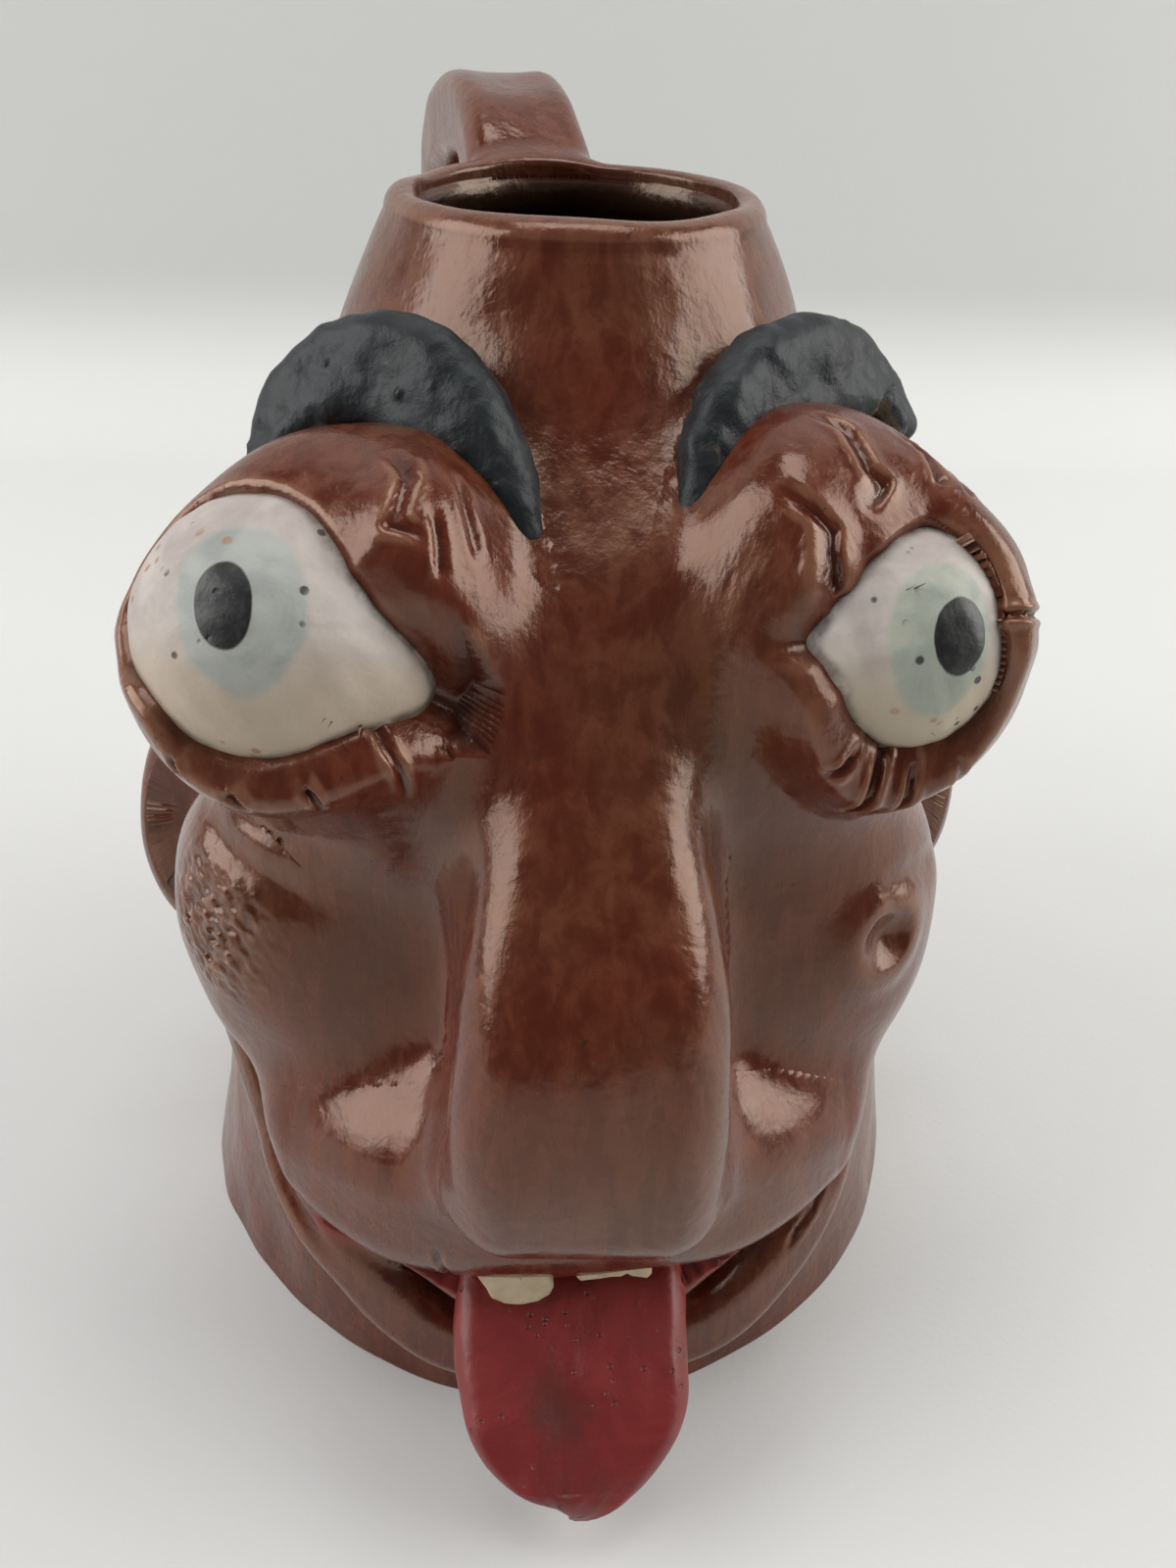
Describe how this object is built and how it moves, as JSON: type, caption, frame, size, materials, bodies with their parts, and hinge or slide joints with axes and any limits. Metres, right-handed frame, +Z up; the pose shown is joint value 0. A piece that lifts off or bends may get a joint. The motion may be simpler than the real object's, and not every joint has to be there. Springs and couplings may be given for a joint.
{
  "type": "face mug",
  "caption": "Hand-built glazed ceramic mug with a tapering body, a strap handle at the back and a comic face modelled on its front: bulging eyes, long nose and hanging tongue.",
  "frame": {"origin": "centre of the foot, on the surface that the mug stands on", "axes": "+Z up along the vessel's axis, -Y the way the face looks, +X to the right of a person who stands facing it"},
  "size_m": [0.1355, 0.1606, 0.1578],
  "materials": {
    "brown_glaze": "glossy translucent red-brown glaze, brushed on",
    "black_glaze": "satin black glaze with small blisters",
    "white_slip": "satin off-white glaze with painted iris and pupil",
    "red_glaze": "satin red glaze with pinholes",
    "cream_slip": "matt cream clay, chipped"
  },
  "bodies": {
    "root": {"vessel_wall": "brown_glaze", "floor_slab": "brown_glaze", "handle_strap": "brown_glaze", "left_eyeball": "white_slip", "right_eyeball": "white_slip", "left_upper_eyelid": "brown_glaze", "left_lower_eyelid": "brown_glaze", "right_upper_eyelid": "brown_glaze", "right_lower_eyelid": "brown_glaze", "left_eye_socket": "brown_glaze", "right_eye_socket": "brown_glaze", "left_eyebrow": "black_glaze", "right_eyebrow": "black_glaze", "nose": "brown_glaze", "left_cheek": "brown_glaze", "right_cheek": "brown_glaze", "upper_lip": "brown_glaze", "tongue": "red_glaze", "lower_lip": "brown_glaze", "left_tooth": "cream_slip", "right_tooth": "cream_slip", "left_ear": "brown_glaze", "right_ear": "brown_glaze"}
  },
  "joints": []
}
